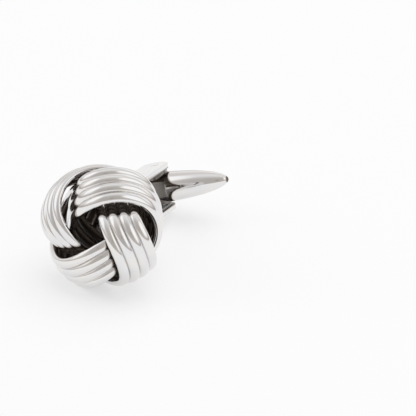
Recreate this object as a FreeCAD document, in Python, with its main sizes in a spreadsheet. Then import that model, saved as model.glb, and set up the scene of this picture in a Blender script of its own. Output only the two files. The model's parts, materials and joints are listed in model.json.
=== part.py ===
import FreeCAD, Part
import math
import os
import re

from FreeCAD import Matrix, Placement, Rotation, Vector

# A love-knot cufflink with a swivelling torpedo bar on a forked post.
# While it is built, the pivot of the bar is the origin: the bar runs along X, the post along Y away
# from the knot, and the pivot pin along Z. At the end the whole link is laid down on its knot, its
# lower fork arm and one tip of its bar, which is how it lies on a table.

SIZES = {
    # the flattened ball of the knot: middle of its bands, and the wave that takes them outside and inside
    "knot_radius": 6.53,
    "knot_flatness": 0.767,
    "band_latitude": 42.7,
    "band_forward": 8.0,
    "bight_spread": 4.7,
    "weave_rise": 1.45,
    "weave_over_share": 0.234,
    "weave_lag_share": 0.228,
    "weave_front_share": 0.207,
    # how the knot is set on its post
    "knot_lean": 6.1,
    "knot_sway": 6.9,
    "knot_turn": 10.4,
    # the flattened wires, four side by side in every band
    "wire_pitch": 1.315,
    "wire_width": 1.25,
    "wire_depth": 1.0,
    # the fork that makes the post, from its web behind the knot to the round ends of its arms
    "fork_width": 3.4,
    "fork_thickness": 0.6,
    "fork_gap": 4.7,
    "fork_bend": 0.9,
    # the torpedo bar and the hub in its middle
    "bar_length": 19.0,
    "bar_diameter": 3.9,
    "hub_flat_depth": 0.3,
    "hub_diameter": 3.0,
    # the pivot pin, and the slack of what turns on it
    "pin_diameter": 1.2,
    "pin_chamfer": 0.03,
    "pin_slack": 0.03,
    "side_slack": 0.06,
    # the click spring inside the lower arm, with its pip and the dimples that the pip finds
    "spring_thickness": 0.2,
    "spring_width": 2.6,
    "spring_bend": 1.3,
    "pip_diameter": 0.6,
    "pip_height": 0.12,
    "pip_reach": 1.05,
    "dimple_diameter": 0.7,
    # the rivet that holds fork and spring to the seat under the knot
    "rivet_diameter": 1.3,
    "rivet_head_diameter": 2.3,
    "rivet_head_height": 0.3,
    "rivet_slack": 0.02,
    "tip_clearance": 1.5,
    # the dished seat between the knot and the fork
    "seat_diameter": 9.0,
    "seat_thickness": 1.25,
    "seat_slack": 0.02,
    # how far a cutting tool runs past the face that it cuts
    "overrun": 1.0,
    # how closely the pieces are sampled to find the points that they lie on
    "sampling": 0.01,
}

# sizes that follow from the ones above, as distances from the pivot or from the middle of the knot
DERIVED = {
    "rivet_face": "bar_length / 2 + tip_clearance",
    "spring_foot": "rivet_face + rivet_head_height",
    "web_inside": "spring_foot + spring_thickness",
    "web_outside": "web_inside + fork_thickness",
    "dish_bottom": "web_outside + seat_thickness",
    "post_length": "dish_bottom + dish_radius",
    "arm_inside": "fork_gap / 2",
    "arm_outside": "arm_inside + fork_thickness",
    "spring_top": "arm_inside - spring_thickness",
    "hub_foot": "spring_top - pip_height - side_slack",
    "hub_top": "arm_inside - side_slack",
}

WIRES_PER_BAND = 4
KNOT_TURNS = 3
KNOT_BIGHTS = 4
SECTIONS_PER_TURN = 60
SECTION_SIDES = 10

# the turn that lays a cylinder, which stands along Z, along another axis
TURNS = {
    "x": Rotation(Vector(0, 1, 0), 90),
    "y": Rotation(Vector(1, 0, 0), -90),
    "z": Rotation(),
}

doc = FreeCAD.newDocument("cufflink")
sheet = doc.addObject("Spreadsheet::Sheet", "sizes")


def enter(contents):
    """Enter sizes or formulas in the next rows of the sheet, each under its name."""
    used = len([name for name in sheet.getNonEmptyCells() if name.startswith("A")])
    for row, (name, content) in enumerate(contents.items(), start=used + 1):
        sheet.set("A%d" % row, name)
        sheet.set("B%d" % row, str(content))
        sheet.setAlias("B%d" % row, name)
        doc.recompute()


def size(name):
    return float(sheet.get(name))


def bound(formula):
    """A formula of sizes, as an expression that reads them from the sheet."""
    return re.sub(r"[a-z]\w+", r"sizes.\g<0>", formula)


def block(name, x, y, z):
    """A box from a low to a high place along each axis."""
    item = doc.addObject("Part::Box", name)
    for side, axis, (low, high) in (("Length", "x", x), ("Width", "y", y), ("Height", "z", z)):
        item.setExpression(side, bound("(%s) - (%s)" % (high, low)))
        item.setExpression("Placement.Base." + axis, bound(low))
    return item


def rod(name, axis, radius, low, high, **places):
    """A cylinder from a low to a high place along an axis, set off along the other axes."""
    item = doc.addObject("Part::Cylinder", name)
    item.Placement = Placement(Vector(), TURNS[axis])
    item.setExpression("Radius", bound(radius))
    item.setExpression("Height", bound("(%s) - (%s)" % (high, low)))
    for other, place in {axis: low, **places}.items():
        item.setExpression("Placement.Base." + other, bound(place))
    return item


def ball(name, radius, **places):
    """A sphere at a place."""
    item = doc.addObject("Part::Sphere", name)
    item.setExpression("Radius", bound(radius))
    for axis, place in places.items():
        item.setExpression("Placement.Base." + axis, bound(place))
    return item


def combine(kind, name, base, *tools):
    """Fuse, cut or intersect a piece with each tool in turn; the last result has the name."""
    for number, tool in enumerate(tools, start=1):
        item = doc.addObject(kind, name if number == len(tools) else "%s_step_%d" % (name, number))
        item.Base = base
        item.Tool = tool
        base = item
    return base


def dress(kind, name, base, amount, wanted):
    """Fillet or chamfer the edges that are wanted."""
    doc.recompute()
    picked = [number for number, edge in enumerate(base.Shape.Edges, start=1) if wanted(edge)]
    item = doc.addObject(kind, name)
    item.Base = base
    item.Edges = [(number, amount, amount) for number in picked]
    return item


def band_point(turn, offset):
    """A point of the band at an angle about the knot's axis, and the outward direction there."""
    radius, flatness = size("knot_radius"), size("knot_flatness")
    swing = KNOT_BIGHTS * turn / KNOT_TURNS
    reach = math.radians(size("band_latitude"))
    latitude = reach * math.cos(swing) + math.radians(size("band_forward"))
    climb = -reach * KNOT_BIGHTS / KNOT_TURNS * math.sin(swing)
    spread = math.radians(size("bight_spread"))
    heading = turn + spread * math.sin(2 * swing) + math.radians(size("knot_turn"))
    advance = 1 + 2 * spread * KNOT_BIGHTS / KNOT_TURNS * math.cos(2 * swing)
    spoke = Vector(math.cos(heading), math.sin(heading), 0)
    east = Vector(-math.sin(heading), math.cos(heading), 0)
    pole = Vector(0, 0, 1)
    middle = (spoke * math.cos(latitude) + pole * (flatness * math.sin(latitude))) * radius
    normal = (spoke * math.cos(latitude) + pole * (math.sin(latitude) / flatness)).normalize()
    north = pole * (flatness * math.cos(latitude)) - spoke * math.sin(latitude)
    along = (east * (math.cos(latitude) * advance) + north * climb).normalize()
    arch = radius * (1 + flatness) / 2
    outward = normal * math.cos(offset / arch) + normal.cross(along) * math.sin(offset / arch)
    wave = (math.sin(swing) + size("weave_over_share") * math.sin(2 * swing)
            - size("weave_lag_share") * math.cos(2 * swing) - size("weave_front_share") * math.cos(swing))
    return middle + (outward - normal) * arch - normal * (size("weave_rise") * wave), outward


def knot_to_post(point):
    """From the knot's own axes, its front pole along Z, to the post's: the front leans up and sways aside."""
    lean, sway = math.radians(size("knot_lean")), math.radians(size("knot_sway"))
    front = Vector(-math.sin(sway) * math.cos(lean), -math.cos(sway) * math.cos(lean), math.sin(lean))
    upper = (Vector(0, 0, 1) - front * front.z).normalize()
    side = front.cross(upper)
    return upper * point.x + side * point.y + front * point.z


def wire_section(turn, offset):
    """The corners of the flat oval outline of one wire, square to its path, about the knot's middle."""
    nudge = math.radians(0.01)
    point, outward = band_point(turn, offset)
    along = band_point(turn + nudge, offset)[0] - band_point(turn - nudge, offset)[0]
    along.normalize()
    depth = (outward - along * outward.dot(along)).normalize()
    width = depth.cross(along)
    corners = []
    for side in range(SECTION_SIDES):
        angle = 2 * math.pi * side / SECTION_SIDES
        corner = (point + width * (size("wire_width") / 2 * math.cos(angle))
                  + depth * (size("wire_depth") / 2 * math.sin(angle)))
        corners.append(knot_to_post(corner))
    return corners


def wire_sections(number):
    """The outlines of one wire, all along its closed strand."""
    offset = (number - (WIRES_PER_BAND + 1) / 2) * size("wire_pitch")
    count = SECTIONS_PER_TURN * KNOT_TURNS
    return [wire_section(2 * math.pi * KNOT_TURNS * step / count, offset) for step in range(count)]


def dish_radius(wires):
    """How far the back of the knot reaches from its middle within the seat, which is dished to it."""
    reach = max(corner.Length for wire in wires for section in wire for corner in section
                if corner.y > 0 and math.hypot(corner.x, corner.z) < size("seat_diameter") / 2)
    return reach + size("seat_slack")


def knot_wire(number, sections):
    """One of the four wires: a single closed strand that goes three times round the ball."""
    middle = Vector(0, -size("post_length"), 0)
    outlines = [[corner + middle for corner in section] for section in sections]
    item = doc.addObject("Part::Feature", "knot_wire_%d" % number)
    item.Shape = Part.makeLoft([Part.makePolygon(outline + outline[:1]) for outline in outlines], True, True, True)
    return item


def fork():
    """A strip bent into a U: a web behind the knot, and two round-ended arms that hold the pin."""
    outside = block("fork_outside", ("-fork_width / 2", "fork_width / 2"),
                    ("-web_outside", "fork_width / 2"), ("-arm_outside", "arm_outside"))
    inside = block("fork_inside", ("-fork_width / 2 - overrun", "fork_width / 2 + overrun"),
                   ("-web_inside", "fork_width / 2 + overrun"), ("-arm_inside", "arm_inside"))
    outside = dress("Part::Fillet", "fork_outside_bent", outside,
                    size("fork_bend") + size("fork_thickness"), is_web_corner(-size("web_outside")))
    inside = dress("Part::Fillet", "fork_inside_bent", inside,
                   size("fork_bend"), is_web_corner(-size("web_inside")))
    strip = combine("Part::Cut", "fork_strip", outside, inside)
    plan = block("fork_plan", ("-fork_width / 2", "fork_width / 2"),
                 ("-web_outside - overrun", "0"), ("-arm_outside - overrun", "arm_outside + overrun"))
    round_end = rod("fork_round_end", "z", "fork_width / 2",
                    "-arm_outside - overrun", "arm_outside + overrun")
    blank = combine("Part::Common", "fork_blank", strip, combine("Part::Fuse", "fork_outline", plan, round_end))
    pin_hole = rod("fork_pin_hole", "z", "pin_diameter / 2", "-arm_outside - overrun", "arm_outside + overrun")
    return combine("Part::Cut", "fork", blank, pin_hole, rivet_bore("fork_rivet_hole"))


def is_web_corner(level):
    """A test for the edges along X that lie at a level of Y."""
    def wanted(edge):
        middle = edge.CenterOfMass
        return abs(middle.y - level) < size("sampling") and abs(middle.x) < size("sampling")
    return lambda edge: wanted(edge) and abs(edge.tangentAt(edge.FirstParameter).x) > math.cos(math.pi / 4)


def rivet_bore(name):
    """A tool for the hole that the base rivet fills, along the post."""
    return rod(name, "y", "rivet_diameter / 2 + rivet_slack", "-dish_bottom - overrun", "-spring_foot + overrun")


def toggle_bar():
    """The torpedo, with a round hub across its middle, a flat on each side of it, and its bore."""
    tip = Vector(size("bar_length") / 2, 0, 0)
    oval = Part.Ellipse(Vector(), tip.x, size("bar_diameter") / 2)
    outline = Part.Wire([Part.ArcOfEllipse(oval, 0, math.pi).toShape(), Part.LineSegment(-tip, tip).toShape()])
    torpedo = doc.addObject("Part::Feature", "torpedo")
    torpedo.Shape = Part.Face(outline).revolve(Vector(), Vector(1, 0, 0), 360)
    boss = rod("hub_boss", "z", "hub_diameter / 2", "-hub_foot", "hub_top")
    flat_x = ("-fork_width / 2", "fork_width / 2")
    flat_z = ("-bar_diameter / 2 - overrun", "bar_diameter / 2 + overrun")
    flat_depth = "bar_diameter / 2 - hub_flat_depth"
    near_flat = block("hub_near_flat", flat_x, ("-bar_diameter / 2 - overrun", "-(%s)" % flat_depth), flat_z)
    far_flat = block("hub_far_flat", flat_x, (flat_depth, "bar_diameter / 2 + overrun"), flat_z)
    bore = rod("hub_bore", "z", "pin_diameter / 2 + pin_slack", "-hub_foot - overrun", "hub_top + overrun")
    dimples = [ball("hub_dimple_%d" % number, "dimple_diameter / 2", x="%d * pip_reach" % across,
                    y="%d * pip_reach" % along, z="-hub_foot - dimple_diameter / 4")
               for number, (across, along) in enumerate(((1, 0), (0, 1), (-1, 0), (0, -1)), start=1)]
    with_hub = combine("Part::Fuse", "bar_with_hub", torpedo, boss)
    return combine("Part::Cut", "toggle_bar", with_hub, near_flat, far_flat, bore, *dimples)


def pivot_pin():
    """A plain pin, flush with the outsides of both arms."""
    blank = rod("pin_blank", "z", "pin_diameter / 2", "-arm_outside", "arm_outside")
    return dress("Part::Chamfer", "pivot_pin", blank, size("pin_chamfer"), lambda edge: edge.isClosed())


def click_spring():
    """A leaf along the inside of the lower arm, its foot under the rivet, with a pip at the hub."""
    breadth = ("-spring_width / 2", "spring_width / 2")
    blade = block("spring_blade", breadth, ("spring_bend - web_inside", "0"), ("-arm_inside", "-spring_top"))
    end = rod("spring_end", "z", "spring_width / 2", "-arm_inside", "-spring_top")
    foot = block("spring_foot_plate", breadth, ("-web_inside", "-spring_foot"),
                 ("spring_bend - arm_inside", "rivet_head_diameter / 2"))
    middle = {"y": "spring_bend - web_inside", "z": "spring_bend - arm_inside"}
    corner = combine("Part::Common", "spring_corner_solid",
                     rod("spring_corner_round", "x", "spring_bend", *breadth, **middle),
                     block("spring_corner_block", breadth, ("-web_inside", middle["y"]), ("-arm_inside", middle["z"])))
    hollow = rod("spring_corner_hollow", "x", "spring_bend - spring_thickness",
                 "-spring_width / 2 - overrun", "spring_width / 2 + overrun", **middle)
    corner = combine("Part::Cut", "spring_corner", corner, hollow)
    pip = rod("spring_pip", "z", "pip_diameter / 2", "-arm_inside", "-spring_top + pip_height", y="-pip_reach")
    leaf = combine("Part::Fuse", "spring_leaf", blade, end, corner, foot, pip)
    pin_hole = rod("spring_pin_hole", "z", "pin_diameter / 2 + pin_slack",
                   "-arm_inside - overrun", "-spring_top + overrun")
    return combine("Part::Cut", "click_spring", leaf, pin_hole, rivet_bore("spring_rivet_hole"))


def knot_seat():
    """A round pad, dished to the back of the knot and flat to the web, with a recess for the rivet."""
    pad = rod("seat_pad", "y", "seat_diameter / 2", "-post_length", "-web_outside")
    dish = ball("seat_dish", "dish_radius", y="-post_length")
    recess = rod("seat_recess", "y", "rivet_head_diameter / 2 + rivet_slack", "-post_length", "-dish_bottom")
    return combine("Part::Cut", "knot_seat", pad, dish, recess, rivet_bore("seat_rivet_hole"))


def base_rivet():
    """The rivet through seat, web and spring foot, with a flat head at each end."""
    shank = rod("rivet_shank", "y", "rivet_diameter / 2", "-dish_bottom", "-spring_foot")
    knot_head = rod("rivet_knot_head", "y", "rivet_head_diameter / 2",
                    "-dish_bottom - rivet_head_height", "-dish_bottom")
    fork_head = rod("rivet_fork_head", "y", "rivet_head_diameter / 2", "-spring_foot", "-rivet_face")
    return combine("Part::Fuse", "base_rivet", shank, knot_head, fork_head)


def lie_down(pieces, supports):
    """Lay the link on the lowest points of three supports, with its post over +Y and its box centred."""
    clouds = {piece: piece.Shape.tessellate(size("sampling"))[0] for piece in pieces}
    grounds = [[point for piece in support for point in clouds[piece]] for support in supports]
    up = Vector(1, -1, 3).normalize()
    settled = False
    while not settled:
        feet = [min(ground, key=up.dot) for ground in grounds]
        normal = (feet[1] - feet[0]).cross(feet[2] - feet[0]).normalize()
        normal = normal if normal.dot(up) > 0 else -normal
        settled = normal.isEqual(up, 1e-9)
        up = normal
    ahead = (Vector(0, 1, 0) - up * up.y).normalize()
    right = ahead.cross(up)
    turn = Placement(Matrix(right.x, right.y, right.z, 0, ahead.x, ahead.y, ahead.z, 0, up.x, up.y, up.z, 0))
    turned = [turn.multVec(point) for cloud in clouds.values() for point in cloud]
    spans = [(min(values), max(values)) for values in zip(*turned)]
    place = Placement(Vector(-sum(spans[0]) / 2, -sum(spans[1]) / 2, -spans[2][0]), turn.Rotation)
    for piece in pieces:
        piece.Placement = place
    return place


enter(SIZES)
strands = [wire_sections(number) for number in range(1, WIRES_PER_BAND + 1)]
enter({"dish_radius": dish_radius(strands)})
enter({name: "=" + formula for name, formula in DERIVED.items()})
wires = [knot_wire(number, sections) for number, sections in enumerate(strands, start=1)]
post, bar = fork(), toggle_bar()
nodes = wires + [knot_seat(), base_rivet(), post, click_spring(), pivot_pin(), bar]
doc.recompute()
lying = lie_down(nodes, (wires, [post], [bar]))
doc.recompute()

for item in doc.Objects:
    if "Invalid" in item.State or "Error" in item.State:
        raise RuntimeError("%s: %s" % (item.Label, item.State))
for node in nodes:
    if node.Shape.isNull() or not node.Shape.isValid() or len(node.Shape.Solids) != 1:
        raise RuntimeError("%s is not one valid solid" % node.Label)

os.makedirs("parts", exist_ok=True)
for node in nodes:
    node.Shape.exportStep("parts/%s.step" % node.Label)
    print("%-14s %9.3f mm3" % (node.Label, node.Shape.Volume))
print("post_length", size("post_length"), "dish_radius", size("dish_radius"))
print("pivot", lying.Base)
for name, axis in (("bar", Vector(1, 0, 0)), ("post", Vector(0, 1, 0)), ("pin", Vector(0, 0, 1))):
    print(name, lying.Rotation.multVec(axis))
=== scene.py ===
import json
import math

import bmesh
import bpy
from mathutils import Matrix, Vector


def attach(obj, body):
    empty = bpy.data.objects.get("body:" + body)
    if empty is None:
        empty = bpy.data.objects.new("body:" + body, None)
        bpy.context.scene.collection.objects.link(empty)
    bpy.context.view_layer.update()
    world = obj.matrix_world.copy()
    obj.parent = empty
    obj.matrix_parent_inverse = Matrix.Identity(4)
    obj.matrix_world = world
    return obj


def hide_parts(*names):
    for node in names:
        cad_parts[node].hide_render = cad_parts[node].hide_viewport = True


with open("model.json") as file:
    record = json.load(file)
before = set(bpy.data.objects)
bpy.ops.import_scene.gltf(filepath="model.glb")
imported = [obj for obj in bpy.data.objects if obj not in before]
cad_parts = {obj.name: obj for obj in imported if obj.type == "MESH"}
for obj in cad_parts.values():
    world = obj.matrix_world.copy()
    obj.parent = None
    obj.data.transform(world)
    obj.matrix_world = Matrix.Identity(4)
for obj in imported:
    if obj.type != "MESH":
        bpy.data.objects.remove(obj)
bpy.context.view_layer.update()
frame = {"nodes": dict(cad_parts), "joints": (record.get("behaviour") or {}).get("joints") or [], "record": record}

MM = 0.001
TURN = 2 * math.pi

# the knot: the ball that its bands follow, their wave out of it and into it, and the wires, which touch
KNOT_RADIUS = 6.53 * MM
KNOT_FLATNESS = 0.767
BAND_LATITUDE = math.radians(42.7)
BAND_FORWARD = math.radians(8.0)
BIGHT_SPREAD = math.radians(4.7)
WEAVE_RISE = 1.45 * MM
WEAVE_OVER_SHARE = 0.234
WEAVE_LAG_SHARE = 0.228
WEAVE_FRONT_SHARE = 0.207
KNOT_LEAN = math.radians(6.1)
KNOT_SWAY = math.radians(6.9)
KNOT_PHASE = math.radians(10.4)
KNOT_TURNS = 3
KNOT_BIGHTS = 4
WIRES_PER_BAND = 4
WIRE_PITCH = 1.315 * MM
WIRE_TOUCH = 0.02 * MM
WIRE_WIDTH = WIRE_PITCH + WIRE_TOUCH
WIRE_DEPTH = 1.0 * MM

# the fork that makes the post
FORK_WIDTH = 3.4 * MM
FORK_THICKNESS = 0.6 * MM
FORK_GAP = 4.7 * MM
FORK_BEND = 0.9 * MM
FORK_EDGE = 0.09 * MM

# the torpedo bar, its hub and the pin
BAR_LENGTH = 19.0 * MM
BAR_DIAMETER = 3.9 * MM
HUB_DIAMETER = 3.0 * MM
HUB_FLAT_DEPTH = 0.3 * MM
PIN_DIAMETER = 1.2 * MM
PIN_EDGE = 0.03 * MM
PIN_SLACK = 0.03 * MM
SIDE_SLACK = 0.06 * MM

# what holds the knot to the fork
SPRING_THICKNESS = 0.2 * MM
PIP_HEIGHT = 0.12 * MM
RIVET_DIAMETER = 1.3 * MM
RIVET_SHANK_SHARE = 0.99
RIVET_HEAD_DIAMETER = 2.3 * MM
RIVET_HEAD_HEIGHT = 0.3 * MM
RIVET_EDGE_SHARE = 0.45
TIP_CLEARANCE = 1.5 * MM
SEAT_DIAMETER = 9.0 * MM
SEAT_THICKNESS = 1.25 * MM
DISH_RADIUS = 6.591 * MM
SEAT_EDGE = 0.2 * MM
SEAT_LIP_ANGLE = -60

# distances along the post, from the pivot towards the knot, and along the pin
SPRING_FOOT = BAR_LENGTH / 2 + TIP_CLEARANCE + RIVET_HEAD_HEIGHT
WEB_INSIDE = SPRING_FOOT + SPRING_THICKNESS
WEB_OUTSIDE = WEB_INSIDE + FORK_THICKNESS
DISH_BOTTOM = WEB_OUTSIDE + SEAT_THICKNESS
POST_LENGTH = DISH_BOTTOM + DISH_RADIUS
ARM_INSIDE = FORK_GAP / 2
ARM_OUTSIDE = ARM_INSIDE + FORK_THICKNESS
HUB_TOP = ARM_INSIDE - SIDE_SLACK
HUB_FOOT = ARM_INSIDE - SPRING_THICKNESS - PIP_HEIGHT - SIDE_SLACK

# how finely the meshes are divided, which edges stay sharp, and how near two points are one
WIRE_POINTS = 900
WIRE_SIDES = 28
TORPEDO_SIDES = 128
ROUND_SIDES = 96
PIN_SIDES = 64
CORNER_STEPS = 5
DISH_STEPS = 24
STRIP_COLUMNS = 8
STRIP_TIP_STEPS = 18
STRIP_ARM_STEPS = 12
STRIP_BEND_STEPS = 16
STRIP_EDGE_STEPS = 3
STRIP_EDGE_ANGLE = math.radians(50)
SHARP_ANGLE = math.radians(32)
WIRE_MERGE = 1e-7
SHELL_MERGE = 1e-8

# the photograph: where the knot's middle is in it, how large it is, and its right and up on the link's axes
PHOTO_SIDE = 416
KNOT_PIXEL = (106.1, 225.0)
PIXELS_PER_METRE = 8.07 / MM
VIEW_RIGHT = Vector((0.930, 0.320, -0.187))
VIEW_UP = Vector((0.110, 0.234, 0.966))
CAMERA_DISTANCE = 0.9
CAMERA_NEAR = 0.01
SENSOR_WIDTH = 36.0

# the link's own axes: the bar along X, the post along Y away from the knot, the pin along Z
joint = frame["joints"][0]
mounts = {mount["name"]: mount for mount in frame["record"]["mounts"]}
PIVOT = Vector(joint["pos_m"])
PIN_AXIS = Vector(joint["axis"]).normalized()
POST_AXIS = Vector(mounts["cuff_post"]["axis"]).normalized()
BAR_AXIS = POST_AXIS.cross(PIN_AXIS)
LINK = Matrix.Translation(PIVOT) @ Matrix((BAR_AXIS, POST_AXIS, PIN_AXIS)).transposed().to_4x4()

# the knot's axes: its front pole along Z, leaning up and swaying aside from the post
KNOT_FRONT = Vector((-math.sin(KNOT_SWAY) * math.cos(KNOT_LEAN),
                     -math.cos(KNOT_SWAY) * math.cos(KNOT_LEAN), math.sin(KNOT_LEAN)))
KNOT_UPPER = (Vector((0, 0, 1)) - KNOT_FRONT * KNOT_FRONT.z).normalized()
KNOT_TURN = Matrix((KNOT_UPPER, KNOT_FRONT.cross(KNOT_UPPER), KNOT_FRONT)).transposed().to_4x4()
KNOT = LINK @ Matrix.Translation((0, -POST_LENGTH, 0)) @ KNOT_TURN


def numbered(values):
    """A node's inputs by their numbers."""
    return {"_%d" % number: value for number, value in enumerate(values)}


def grey(level):
    """A colour without a hue."""
    return (level, level, level, 1)


class Graph:
    """A node tree in which nodes are made in one way and sockets take part in sums."""

    def __init__(self, tree):
        self.tree = tree

    def node(self, kind, settings=None, output=0, **inputs):
        """Add a node, set its settings and then its inputs; give one of its outputs, if it has any."""
        node = self.tree.nodes.new(kind)
        for name, value in (settings or {}).items():
            setattr(node, name, value)
        for name, value in inputs.items():
            key = int(name[1:]) if name[1:].isdigit() else name.replace("_", " ")
            self.feed(node.inputs[key], value)
        return Sock(self, node.outputs[output]) if node.outputs else None

    def feed(self, socket, value):
        """Link a socket to another one, or set its value."""
        if isinstance(value, Sock):
            self.tree.links.new(value.socket, socket)
        else:
            socket.default_value = value

    def math(self, operation, *values):
        """A sum of numbers."""
        return self.node("ShaderNodeMath", {"operation": operation}, **numbered(values))

    def vector(self, operation, *values):
        """A sum of vectors that gives a vector."""
        return self.node("ShaderNodeVectorMath", {"operation": operation}, **numbered(values)).as_arrow()

    def measure(self, operation, *values):
        """A sum of vectors that gives a number."""
        return self.node("ShaderNodeVectorMath", {"operation": operation}, "Value", **numbered(values))

    def arrow(self, x, y, z):
        """A vector from three numbers."""
        return self.node("ShaderNodeCombineXYZ", X=x, Y=y, Z=z).as_arrow()


class Sock:
    """A number on a socket: sums with it add the nodes that work them out."""

    def __init__(self, graph, socket):
        self.graph = graph
        self.socket = socket

    def __add__(self, other):
        return self.graph.math("ADD", self, other)

    def __radd__(self, other):
        return self.graph.math("ADD", other, self)

    def __sub__(self, other):
        return self.graph.math("SUBTRACT", self, other)

    def __rsub__(self, other):
        return self.graph.math("SUBTRACT", other, self)

    def __mul__(self, other):
        return self.graph.math("MULTIPLY", self, other)

    def __rmul__(self, other):
        return self.graph.math("MULTIPLY", other, self)

    def __truediv__(self, other):
        return self.graph.math("DIVIDE", self, other)

    def __abs__(self):
        return self.graph.math("ABSOLUTE", self)

    def sin(self):
        return self.graph.math("SINE", self)

    def cos(self):
        return self.graph.math("COSINE", self)

    def between(self, low, high):
        """0 below low, 1 above high, and a smooth step between them."""
        settings = {"interpolation_type": "SMOOTHSTEP"}
        return self.graph.node("ShaderNodeMapRange", settings, Value=self, From_Min=low, From_Max=high)

    def as_arrow(self):
        """The same socket, taken as a vector."""
        return Arrow(self.graph, self.socket)


class Arrow(Sock):
    """A vector on a socket."""

    def __add__(self, other):
        return self.graph.vector("ADD", self, other)

    def __sub__(self, other):
        return self.graph.vector("SUBTRACT", self, other)

    def __mul__(self, number):
        settings = {"operation": "SCALE"}
        return self.graph.node("ShaderNodeVectorMath", settings, _0=self, Scale=number).as_arrow()

    def cross(self, other):
        return self.graph.vector("CROSS_PRODUCT", self, other)

    def unit(self):
        return self.graph.vector("NORMALIZE", self)

    def dot(self, other):
        return self.graph.measure("DOT_PRODUCT", self, other)

    def length(self):
        return self.graph.measure("LENGTH", self)


# the finishes: colours, where clouds, polish and painted shade begin and end, and how much the noise roughens

SILVER = (0.84, 0.822, 0.804, 1)
SILVER_COOL = (0.81, 0.804, 0.812, 1)
# painted shade: dark brown put on the inside of the knot and of the fork; the bar's very tips are painted with it
# too
PAINTED_DARK = (0.16, 0.13, 0.105, 1)
# painted shade on the bar's hub between the fork's arms
HUB_PAINTED_SHADE = (0.24, 0.225, 0.21, 1)
RIVET_LIGHT = (0.80, 0.77, 0.72, 1)
RIVET_DARK = (0.66, 0.62, 0.56, 1)
SPRING_LIGHT = (0.62, 0.62, 0.63, 1)
SPRING_DARK = (0.45, 0.45, 0.47, 1)
CLOUD_EDGE = (0.35, 0.65)
MOTTLE_EDGE = (0.3, 0.7)
MOTTLE_ROUGHNESS = 0.1
HAZE_ROUGHNESS = 0.06
LINES_ROUGHNESS = 0.10
LINE_WAVES = Vector((4000.0, 120.0, 4000.0))
# where the painted shade and the rougher metal begin and end; the tip edge is where the bar is painted darker
KNOT_SHADE_POLISH_EDGE = (-0.9, -0.2)
HUB_SHADE_POLISH_EDGE = (0.8 * FORK_WIDTH / 2, 1.02 * FORK_WIDTH / 2)
BAR_TIP_EDGE = (0.97 * BAR_LENGTH / 2, 0.985 * BAR_LENGTH / 2)
ARM_SHADE_POLISH_EDGE = (ARM_INSIDE, ARM_INSIDE + FORK_THICKNESS / 3)


def new_material(name):
    """A fresh material: its graph and the piece's own coordinates."""
    material = bpy.data.materials.new(name)
    material.use_nodes = True
    graph = Graph(material.node_tree)
    place = graph.node("ShaderNodeTexCoord", output="Object").as_arrow()
    return material, graph, place


def noise(graph, place, waves, detail=3.0):
    """Noise of so many waves to the unit of its place, which is the metre on a piece."""
    return graph.node("ShaderNodeTexNoise", Vector=place, Scale=waves, Detail=detail)


def tint(graph, factor, first, second):
    """One colour turning into another."""
    settings = {"data_type": "RGBA", "clamp_factor": True}
    return graph.node("ShaderNodeMix", settings, output=2, _0=factor, _6=first, _7=second)


def clouded(graph, place, first, second, waves):
    """Plate with soft clouds of two silvers."""
    return tint(graph, noise(graph, place, waves).between(*CLOUD_EDGE), first, second)


def shine(polished, dull, bright):
    """The roughness of metal that is dull until its polish comes in."""
    return dull - (dull - bright) * polished


def finish_metal(graph, colour, roughness, ripple, height):
    """Make a material metal, with its colour, its roughness and the ripple of its polish."""
    shader = graph.tree.nodes["Principled BSDF"]
    bump = graph.node("ShaderNodeBump", Strength=1.0, Distance=height, Height=ripple)
    graph.feed(shader.inputs["Metallic"], 1)
    graph.feed(shader.inputs["Base Color"], colour)
    graph.feed(shader.inputs["Roughness"], roughness)
    graph.feed(shader.inputs["Normal"], bump)


def knot_silver():
    """Plate with a mirror polish, rougher on the inside of the knot, where it is also painted dark as shade."""
    material, graph, place = new_material("knot_silver")
    facing = graph.node("ShaderNodeTexCoord", output="Normal").as_arrow()
    out = (place - graph.arrow(*KNOT.translation)).unit()
    # painted shade: faces that turn towards the knot's middle are darkened, and they are rougher too
    polished = facing.dot(out).between(*KNOT_SHADE_POLISH_EDGE)
    plate = clouded(graph, place, SILVER, SILVER_COOL, waves=400.0)
    colour = tint(graph, polished, PAINTED_DARK, plate)
    haze = noise(graph, place, waves=1500.0)
    roughness = shine(polished, dull=0.42, bright=0.09) + HAZE_ROUGHNESS * haze
    ripple = noise(graph, place, waves=700.0, detail=2.0)
    finish_metal(graph, colour, roughness, ripple, height=0.004 * MM)
    return material


def bar_silver():
    """Plate with a mirror polish and a faint haze of handling; rougher and painted dark as shade at the hub;
    painted darker at the very tips.
    """
    material, graph, place = new_material("bar_silver")
    from_hub = abs((place - graph.arrow(*PIVOT)).dot(graph.arrow(*BAR_AXIS)))
    # painted shade: the hub between the fork's arms is darkened, and it is rougher too
    polished = from_hub.between(*HUB_SHADE_POLISH_EDGE)
    plate = clouded(graph, place, SILVER, SILVER_COOL, waves=300.0)
    colour = tint(graph, polished, HUB_PAINTED_SHADE, plate)
    # the bar's very tips are painted darker
    colour = tint(graph, from_hub.between(*BAR_TIP_EDGE), colour, PAINTED_DARK)
    haze = noise(graph, place, waves=1200.0)
    roughness = shine(polished, dull=0.25, bright=0.05) + HAZE_ROUGHNESS * haze
    ripple = noise(graph, place, waves=500.0, detail=2.0)
    finish_metal(graph, colour, roughness, ripple, height=0.003 * MM)
    return material


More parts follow.
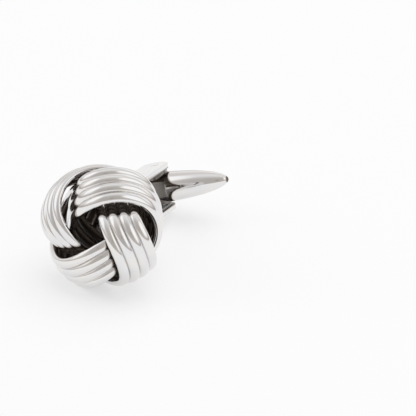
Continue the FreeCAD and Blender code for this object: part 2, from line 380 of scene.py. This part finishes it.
def post_silver():
    """Polished strip, with faint draw lines roughly along the post, rougher on the inside of the fork and painted
    dark there as shade.
    """
    material, graph, place = new_material("post_silver")
    lines = noise(graph, graph.vector("MULTIPLY", place, LINE_WAVES), waves=1.0, detail=2.0)
    from_pivot = place - graph.arrow(*PIVOT)
    from_middle = abs(from_pivot.dot(graph.arrow(*PIN_AXIS)))
    within_fork = from_pivot.dot(graph.arrow(*POST_AXIS)).between(-WEB_OUTSIDE, -WEB_INSIDE)
    # painted shade: the inner faces of the fork's arms are darkened, and they are rougher too
    polished = 1 - within_fork * (1 - from_middle.between(*ARM_SHADE_POLISH_EDGE))
    plate = clouded(graph, place, SILVER_COOL, SILVER, waves=350.0)
    colour = tint(graph, polished, PAINTED_DARK, plate)
    roughness = shine(polished, dull=0.30, bright=0.10) + LINES_ROUGHNESS * lines
    finish_metal(graph, colour, roughness, lines, height=0.0015 * MM)
    return material


def plain_metal(name, light, dark, roughness, waves):
    """Machined metal with a mottle of two tones."""
    material, graph, place = new_material(name)
    mottle = noise(graph, place, waves, detail=4.0)
    colour = tint(graph, mottle.between(*MOTTLE_EDGE), dark, light)
    finish_metal(graph, colour, roughness + MOTTLE_ROUGHNESS * mottle, mottle, height=0.002 * MM)
    return material


# how meshes are made

def link_object(name, mesh, matrix, body, slot, material, *nodes):
    """Put a finished mesh into the link as a piece that stands for its nodes."""
    mesh.transform(matrix)
    mesh.update()
    piece = bpy.data.objects.new(name, mesh)
    bpy.context.scene.collection.objects.link(piece)
    if not mesh.materials:
        mesh.materials.append(material)
    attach(piece, body)
    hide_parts(*nodes)


def discard(thing):
    """Remove a throw-away object with its mesh."""
    mesh = thing.data
    bpy.data.objects.remove(thing)
    bpy.data.meshes.remove(mesh)


def evaluated_mesh(thing):
    """The mesh that a throw-away object's modifiers make of it."""
    state = bpy.context.evaluated_depsgraph_get()
    mesh = bpy.data.meshes.new_from_object(thing.evaluated_get(state), depsgraph=state)
    discard(thing)
    return mesh


def close_shell(shape, within):
    """Merge a shape's doubles and turn its faces outwards."""
    bmesh.ops.remove_doubles(shape, verts=shape.verts, dist=within)
    bmesh.ops.recalc_face_normals(shape, faces=shape.faces)


def smooth_by_angle(mesh):
    """Shade a mesh smooth, but keep its sharp edges."""
    mesh.shade_smooth()
    mesh.set_sharp_from_angle(angle=SHARP_ANGLE)


def mesh_of(name, build):
    """A mesh filled by a function that builds it."""
    shape = bmesh.new()
    build(shape)
    mesh = bpy.data.meshes.new(name)
    shape.to_mesh(mesh)
    shape.free()
    return mesh


def scratch_object(name, build):
    """A throw-away object, to be modified or to be a tool for another one's modifiers."""
    thing = bpy.data.objects.new(name, mesh_of(name, build))
    bpy.context.scene.collection.objects.link(thing)
    return thing


def machined_mesh(thing, *steps):
    """The mesh of an object after joins and cuts, each given as an operation and what builds its tool."""
    tools = []
    for operation, build in steps:
        tools.append(scratch_object("cutting_tool", build))
        modifier = thing.modifiers.new(operation.lower(), "BOOLEAN")
        modifier.operation = operation
        modifier.solver = "EXACT"
        modifier.object = tools[-1]
    mesh = evaluated_mesh(thing)
    for tool in tools:
        discard(tool)
    smooth_by_angle(mesh)
    return mesh


def rod_builder(radius, low, high):
    """Builds a cylinder along Z."""
    def build(shape):
        middle = Matrix.Translation((0, 0, (low + high) / 2))
        bmesh.ops.create_cone(shape, cap_ends=True, segments=ROUND_SIDES, radius1=radius, radius2=radius,
                              depth=high - low, matrix=middle)
    return build


def block_builder(low, high):
    """Builds a box between two corners."""
    def build(shape):
        low_corner, high_corner = Vector(low), Vector(high)
        middle = Matrix.Translation((low_corner + high_corner) / 2)
        size = Matrix.Diagonal((*(high_corner - low_corner), 1))
        bmesh.ops.create_cube(shape, size=1, matrix=middle @ size)
    return build


def lathe(name, profile, sides=ROUND_SIDES):
    """A mesh turned about the post from a profile of (radius, place) pairs."""
    def build(shape):
        rim = [shape.verts.new((radius, place, 0)) for radius, place in profile]
        edges = [shape.edges.new((first, second)) for first, second in zip(rim, rim[1:])]
        bmesh.ops.spin(shape, geom=rim + edges, cent=(0, 0, 0), axis=(0, 1, 0), angle=TURN, steps=sides)
        close_shell(shape, SHELL_MERGE)
    mesh = mesh_of(name, build)
    smooth_by_angle(mesh)
    return mesh


def corner(centre, radius, start, end, steps=CORNER_STEPS):
    """Points of a rounded corner, from one angle to another, in degrees."""
    across, along = centre
    angles = [math.radians(start + (end - start) * step / steps) for step in range(steps + 1)]
    return [(across + radius * math.cos(angle), along + radius * math.sin(angle)) for angle in angles]


# the pieces

def wire_tree(material):
    """The tree that draws one wire of the knot: an oval swept along the path of its band."""
    tree = bpy.data.node_groups.new("knot_wire", "GeometryNodeTree")
    for name in ("Offset", "Knot Radius", "Flatness", "Band Latitude", "Weave Rise", "Width", "Depth"):
        tree.interface.new_socket(name, in_out="INPUT", socket_type="NodeSocketFloat")
    for name in ("Points", "Sides"):
        tree.interface.new_socket(name, in_out="INPUT", socket_type="NodeSocketInt")
    tree.interface.new_socket("Wire", in_out="OUTPUT", socket_type="NodeSocketGeometry")
    graph = Graph(tree)
    given = graph.node("NodeGroupInput").socket.node
    inputs = [Sock(graph, socket) for socket in list(given.outputs)[:-1]]
    offset, radius, flatness, reach, rise, width, depth, points, sides = inputs
    pace = KNOT_BIGHTS / KNOT_TURNS
    turn = graph.node("GeometryNodeInputIndex") * (TURN * KNOT_TURNS) / points
    swing = turn * pace
    double = swing * 2
    heading = turn + double.sin() * BIGHT_SPREAD + KNOT_PHASE
    advance = 1 + double.cos() * (2 * BIGHT_SPREAD * pace)
    latitude = reach * swing.cos() + BAND_FORWARD
    climb = reach * swing.sin() * -pace
    spoke = graph.arrow(heading.cos(), heading.sin(), 0.0)
    east = graph.arrow(0 - heading.sin(), heading.cos(), 0.0)
    pole = graph.arrow(0.0, 0.0, 1.0)
    middle = (spoke * latitude.cos() + pole * (latitude.sin() * flatness)) * radius
    normal = (spoke * latitude.cos() + pole * (latitude.sin() / flatness)).unit()
    north = pole * (latitude.cos() * flatness) - spoke * latitude.sin()
    along = (east * (latitude.cos() * advance) + north * climb).unit()
    arch = radius * (flatness + 1) * 0.5
    angle = offset / arch
    outward = normal * angle.cos() + normal.cross(along) * angle.sin()
    wave = (swing.sin() + double.sin() * WEAVE_OVER_SHARE
            - double.cos() * WEAVE_LAG_SHARE - swing.cos() * WEAVE_FRONT_SHARE)
    path = middle + (outward - normal) * arch - normal * (rise * wave)
    ring = graph.node("GeometryNodeCurvePrimitiveCircle", Resolution=points)
    moved = graph.node("GeometryNodeSetPosition", Geometry=ring, Position=path)
    turned = graph.node("GeometryNodeSetCurveNormal", {"mode": "FREE"}, Curve=moved, Normal=outward)
    circle = graph.node("GeometryNodeCurvePrimitiveCircle", Resolution=sides, Radius=1.0)
    halves = graph.arrow(depth * 0.5, width * 0.5, 1.0)
    oval = graph.node("GeometryNodeTransform", Geometry=circle, Scale=halves)
    swept = graph.node("GeometryNodeCurveToMesh", Curve=turned, Profile_Curve=oval)
    smooth = graph.node("GeometryNodeSetShadeSmooth", Geometry=swept)
    real = graph.node("GeometryNodeRealizeInstances", Geometry=smooth)
    dressed = graph.node("GeometryNodeSetMaterial", Geometry=real, Material=material)
    graph.node("NodeGroupOutput", _0=dressed)
    return tree


def knot_wires(material):
    """The four wires that lie side by side in every band."""
    tree = wire_tree(material)
    keys = {item.name: item.identifier for item in tree.interface.items_tree if item.in_out == "INPUT"}
    for number in range(1, WIRES_PER_BAND + 1):
        carrier = scratch_object("wire_carrier", lambda shape: None)
        modifier = carrier.modifiers.new("knot_wire", "NODES")
        modifier.node_group = tree
        values = {"Offset": (number - (WIRES_PER_BAND + 1) / 2) * WIRE_PITCH, "Knot Radius": KNOT_RADIUS,
                  "Flatness": KNOT_FLATNESS, "Band Latitude": BAND_LATITUDE, "Weave Rise": WEAVE_RISE,
                  "Width": WIRE_WIDTH, "Depth": WIRE_DEPTH, "Points": WIRE_POINTS, "Sides": WIRE_SIDES}
        for name, value in values.items():
            modifier[keys[name]] = value
        mesh = evaluated_mesh(carrier)
        shape = bmesh.new()
        shape.from_mesh(mesh)
        close_shell(shape, WIRE_MERGE)
        shape.to_mesh(mesh)
        shape.free()
        name = "knot_wire_%d" % number
        link_object("polished_" + name, mesh, KNOT, "link", "knot_silver", material, name)


def toggle_bar(material):
    """The torpedo, with its hub, the flats beside it and the bore."""
    def torpedo(shape):
        lying = Matrix.Rotation(TURN / 4, 4, "Y")
        size = Matrix.Diagonal((BAR_LENGTH / 2, BAR_DIAMETER / 2, BAR_DIAMETER / 2, 1))
        bmesh.ops.create_uvsphere(shape, u_segments=TORPEDO_SIDES, v_segments=TORPEDO_SIDES, radius=1,
                                  matrix=size @ lying)
    past = BAR_DIAMETER
    side = FORK_WIDTH / 2
    flat = BAR_DIAMETER / 2 - HUB_FLAT_DEPTH
    mesh = machined_mesh(scratch_object("torpedo", torpedo),
                         ("UNION", rod_builder(HUB_DIAMETER / 2, -HUB_FOOT, HUB_TOP)),
                         ("DIFFERENCE", block_builder((-side, flat, -past), (side, past, past))),
                         ("DIFFERENCE", block_builder((-side, -past, -past), (side, -flat, past))),
                         ("DIFFERENCE", rod_builder(PIN_DIAMETER / 2 + PIN_SLACK, -past, past)))
    link_object("polished_toggle_bar", mesh, LINK, "toggle", "bar_silver", material, "toggle_bar")


def fork_line():
    """The middle line of the fork's strip, from the end of one arm round the web to the other's."""
    bend = FORK_BEND + FORK_THICKNESS / 2
    level = ARM_INSIDE + FORK_THICKNESS / 2
    web = -WEB_INSIDE - FORK_THICKNESS / 2
    end = FORK_WIDTH / 2
    tip = [(end * math.cos(TURN / 4 * step / STRIP_TIP_STEPS), level) for step in range(STRIP_TIP_STEPS)]
    arm = [((web + bend) * step / STRIP_ARM_STEPS, level) for step in range(STRIP_ARM_STEPS)]
    turn = corner((web + bend, level - bend), bend, 90, 180, STRIP_BEND_STEPS)
    upper = tip + arm + turn
    lower = [(y, -z) for y, z in reversed(upper)]
    return upper + lower


def fork(material):
    """The U-shaped strip, its edges softened, drilled for the pin."""
    def strip(shape):
        rows = []
        for y, z in fork_line():
            half = math.sqrt(max(0.0, (FORK_WIDTH / 2) ** 2 - max(0.0, y) ** 2))
            places = [half * (2 * column / STRIP_COLUMNS - 1) for column in range(STRIP_COLUMNS + 1)]
            rows.append([shape.verts.new((x, y, z)) for x in places])
        for first, second in zip(rows, rows[1:]):
            for column in range(STRIP_COLUMNS):
                shape.faces.new((first[column], first[column + 1], second[column + 1], second[column]))
        close_shell(shape, SHELL_MERGE)
    thing = scratch_object("fork_strip", strip)
    wall = thing.modifiers.new("wall", "SOLIDIFY")
    wall.thickness = FORK_THICKNESS
    wall.offset = 0
    wall.use_even_offset = True
    soft = thing.modifiers.new("soft_edges", "BEVEL")
    soft.width = FORK_EDGE
    soft.segments = STRIP_EDGE_STEPS
    soft.limit_method = "ANGLE"
    soft.angle_limit = STRIP_EDGE_ANGLE
    drill = rod_builder(PIN_DIAMETER / 2, -2 * ARM_OUTSIDE, 2 * ARM_OUTSIDE)
    mesh = machined_mesh(thing, ("DIFFERENCE", drill))
    link_object("polished_fork", mesh, LINK, "link", "post_silver", material, "fork")


def pivot_pin(material):
    """The pin, ground flush with the arms."""
    edge = PIN_EDGE
    profile = [(0, -ARM_OUTSIDE)]
    profile += corner((PIN_DIAMETER / 2 - edge, -ARM_OUTSIDE + edge), edge, -90, 0)
    profile += corner((PIN_DIAMETER / 2 - edge, ARM_OUTSIDE - edge), edge, 0, 90)
    profile += [(0, ARM_OUTSIDE)]
    mesh = lathe("pivot_pin", profile, PIN_SIDES)
    mesh.transform(Matrix.Rotation(TURN / 4, 4, "X"))
    link_object("flush_pivot_pin", mesh, LINK, "link", "pin_steel", material, "pivot_pin")


def knot_seat(material):
    """The dished pad behind the knot."""
    radius = SEAT_DIAMETER / 2
    hole = RIVET_DIAMETER / 2
    rim = math.asin((radius - SEAT_EDGE) / DISH_RADIUS)
    start = math.asin(hole / DISH_RADIUS)
    angles = [start + (rim - start) * step / DISH_STEPS for step in range(DISH_STEPS + 1)]
    dish = [(DISH_RADIUS * math.sin(angle), DISH_RADIUS * math.cos(angle) - POST_LENGTH)
            for angle in angles]
    lip = dish[-1][1]
    profile = dish + corner((radius - SEAT_EDGE, lip + SEAT_EDGE), SEAT_EDGE, SEAT_LIP_ANGLE, 0)
    profile += corner((radius - SEAT_EDGE, -WEB_OUTSIDE - SEAT_EDGE), SEAT_EDGE, 0, 90)
    profile += [(hole, -WEB_OUTSIDE), dish[0]]
    mesh = lathe("knot_seat", profile)
    link_object("dished_knot_seat", mesh, LINK, "link", "post_silver", material, "knot_seat")


def base_rivet(material):
    """The rivet, with a softly domed head at each end."""
    head = RIVET_HEAD_DIAMETER / 2
    shank = RIVET_DIAMETER / 2 * RIVET_SHANK_SHARE
    edge = RIVET_HEAD_HEIGHT * RIVET_EDGE_SHARE
    foot = -DISH_BOTTOM - RIVET_HEAD_HEIGHT
    top = -SPRING_FOOT + RIVET_HEAD_HEIGHT
    profile = [(0, foot)] + corner((head - edge, foot + edge), edge, -90, 0) + [(head, -DISH_BOTTOM)]
    profile += [(shank, -DISH_BOTTOM), (shank, -SPRING_FOOT), (head, -SPRING_FOOT)]
    profile += corner((head - edge, top - edge), edge, 0, 90) + [(0, top)]
    mesh = lathe("base_rivet", profile)
    link_object("domed_base_rivet", mesh, LINK, "link", "rivet_brass", material, "base_rivet")


# the room: the table, the dark round the camera, the tent with its folds and windows, and the light

HORIZON = (0.42, 0.38, 0.35, 1)
TABLE_REACH = 1.5
TABLE_FADE = (0.12, 1.0)
TABLE_GLOW = 0.6
TABLE_TONES = (grey(0.93), grey(0.96))
ONLOOKER_RADIUS = 0.07
ONLOOKER_BEHIND = 0.02
ONLOOKER_SIDES = 64
ONLOOKER_ROUGHNESS = 0.9
ONLOOKER_TONES = ((0.42, 0.38, 0.35, 1), (0.34, 0.30, 0.27, 1))
FOLD_EDGE = (0.42, 0.62)
FOLD_SHADE = (0.72, 0.70, 0.68, 1)
HORIZON_EDGE = (0.0, 0.2)
OVERHEAD = grey(0.86)
OVERHEAD_EDGE = (0.8, 0.92)
ROOM = (0.50, 0.475, 0.45, 1)
ROOM_EDGE = (0.3, 1.0)
WINDOWS = ((-0.75, -0.2, 0.62), (0.8, -0.1, 0.6))
WINDOW = grey(1.12)
WINDOW_EDGE = (0.86, 0.95)
WHITE = grey(1.0)
EVEN_LIGHT = grey(0.6)


def seen_directly(graph):
    """1 for what the eye sees, straight or in metal and glass; 0 for the light that falls on things."""
    straight, mirrored, through = [graph.node("ShaderNodeLightPath", output=name) for name in
                                   ("Is Camera Ray", "Is Glossy Ray", "Is Transmission Ray")]
    return graph.math("MINIMUM", straight + mirrored + through, 1.0)


def stage_object(name, build, material):
    """A piece of the studio, which is not part of the link."""
    thing = bpy.data.objects.new(name, mesh_of(name, build))
    thing.data.materials.append(material)
    bpy.context.scene.collection.objects.link(thing)
    return thing


def table():
    """A wide white table that keeps the link's shadow; far away its colour is painted darker, a painted fall-off
    of light.
    """
    material, graph, place = new_material("white_table")
    nodes = graph.tree.nodes
    nodes.remove(nodes["Principled BSDF"])
    # painted fall-off of light: far away the table's colour and glow turn to the darker horizon tone
    far = place.length().between(*TABLE_FADE)
    near = tint(graph, noise(graph, place, waves=30.0), *TABLE_TONES)
    matte = graph.node("ShaderNodeBsdfDiffuse", Color=tint(graph, far, near, HORIZON))
    glow = graph.node("ShaderNodeEmission", Color=tint(graph, far, WHITE, HORIZON), Strength=1.0)
    mixed = graph.node("ShaderNodeMixShader", Fac=seen_directly(graph) * TABLE_GLOW, _1=matte, _2=glow)
    graph.feed(nodes["Material Output"].inputs["Surface"], mixed)

    def top(shape):
        bmesh.ops.create_grid(shape, x_segments=1, y_segments=1, size=TABLE_REACH)
    stage_object("table", top, material)


def onlooker():
    """The dark round card behind the camera, which the metal mirrors and the camera doesn't see."""
    material, graph, place = new_material("dark_card")
    shader = graph.tree.nodes["Principled BSDF"]
    graph.feed(shader.inputs["Base Color"], tint(graph, noise(graph, place, waves=8.0), *ONLOOKER_TONES))
    graph.feed(shader.inputs["Roughness"], ONLOOKER_ROUGHNESS)
    behind = bpy.context.scene.camera.matrix_world @ Matrix.Translation((0, 0, ONLOOKER_BEHIND))

    def card(shape):
        bmesh.ops.create_circle(shape, cap_ends=True, segments=ONLOOKER_SIDES, radius=ONLOOKER_RADIUS,
                                matrix=behind)
    stage_object("dark_onlooker", card, material).visible_camera = False


def tent():
    """White cloth with folds, a dim horizon, top and camera side, and two windows; its light is even."""
    sky = bpy.data.worlds.new("tent")
    sky.use_nodes = True
    graph = Graph(sky.node_tree)
    toward = graph.node("ShaderNodeTexCoord", output="Generated").as_arrow()
    height = toward.dot(graph.arrow(0.0, 0.0, 1.0))
    folds = noise(graph, toward, waves=1.6, detail=1.0).between(*FOLD_EDGE)
    cloth = tint(graph, folds, FOLD_SHADE, WHITE)
    cloth = tint(graph, height.between(*HORIZON_EDGE), HORIZON, cloth)
    cloth = tint(graph, height.between(*OVERHEAD_EDGE), cloth, OVERHEAD)
    behind_camera = bpy.context.scene.camera.matrix_world.to_3x3() @ Vector((0, 0, 1))
    cloth = tint(graph, toward.dot(graph.arrow(*behind_camera)).between(*ROOM_EDGE), cloth, ROOM)
    for window in WINDOWS:
        cloth = tint(graph, toward.dot(graph.arrow(*window)).between(*WINDOW_EDGE), cloth, WINDOW)
    background = sky.node_tree.nodes["Background"]
    graph.feed(background.inputs["Color"], tint(graph, seen_directly(graph), EVEN_LIGHT, cloth))
    graph.feed(background.inputs["Strength"], 1.0)
    bpy.context.scene.world = sky


def softbox(name, place, side, power):
    """A square soft lamp that looks at the middle of the table and isn't mirrored by the metal."""
    light = bpy.data.lights.new(name, "AREA")
    light.shape = "SQUARE"
    light.size = side
    light.energy = power
    thing = bpy.data.objects.new(name, light)
    thing.location = place
    thing.rotation_euler = (-Vector(place)).to_track_quat("-Z", "Y").to_euler()
    thing.visible_glossy = False
    bpy.context.scene.collection.objects.link(thing)


def camera():
    """The photograph's camera: the knot's middle falls on its pixel, at its scale."""
    turn = LINK.to_3x3()
    right = (turn @ VIEW_RIGHT).normalized()
    toward = right.cross(turn @ VIEW_UP).normalized()
    up = toward.cross(right)
    aside = (KNOT_PIXEL[0] - PHOTO_SIDE / 2) / PIXELS_PER_METRE
    above = (PHOTO_SIDE / 2 - KNOT_PIXEL[1]) / PIXELS_PER_METRE
    data = bpy.data.cameras.new("camera")
    data.sensor_width = SENSOR_WIDTH
    data.lens = SENSOR_WIDTH * CAMERA_DISTANCE * PIXELS_PER_METRE / PHOTO_SIDE
    data.clip_start = CAMERA_NEAR
    thing = bpy.data.objects.new("camera", data)
    place = KNOT.translation - right * aside - up * above + toward * CAMERA_DISTANCE
    thing.matrix_world = Matrix.Translation(place) @ Matrix((right, up, toward)).transposed().to_4x4()
    bpy.context.scene.collection.objects.link(thing)
    bpy.context.scene.camera = thing


camera()
knot_wires(knot_silver())
toggle_bar(bar_silver())
post = post_silver()
fork(post)
knot_seat(post)
pivot_pin(plain_metal("pin_steel", SILVER_COOL, SILVER, roughness=0.12, waves=900.0))
base_rivet(plain_metal("rivet_brass", RIVET_LIGHT, RIVET_DARK, roughness=0.25, waves=700.0))
spring_finish = frame["nodes"]["click_spring"].data.materials
spring_finish.clear()
spring_finish.append(plain_metal("spring_steel", SPRING_LIGHT, SPRING_DARK, roughness=0.3, waves=800.0))

table()
onlooker()
tent()
softbox("overhead_softbox", place=(0.1, 0.25, 0.9), side=1.0, power=4.4)
softbox("left_softbox", place=(-0.7, -0.3, 0.5), side=0.4, power=0.7)

bpy.context.scene.view_settings.view_transform = "Standard"
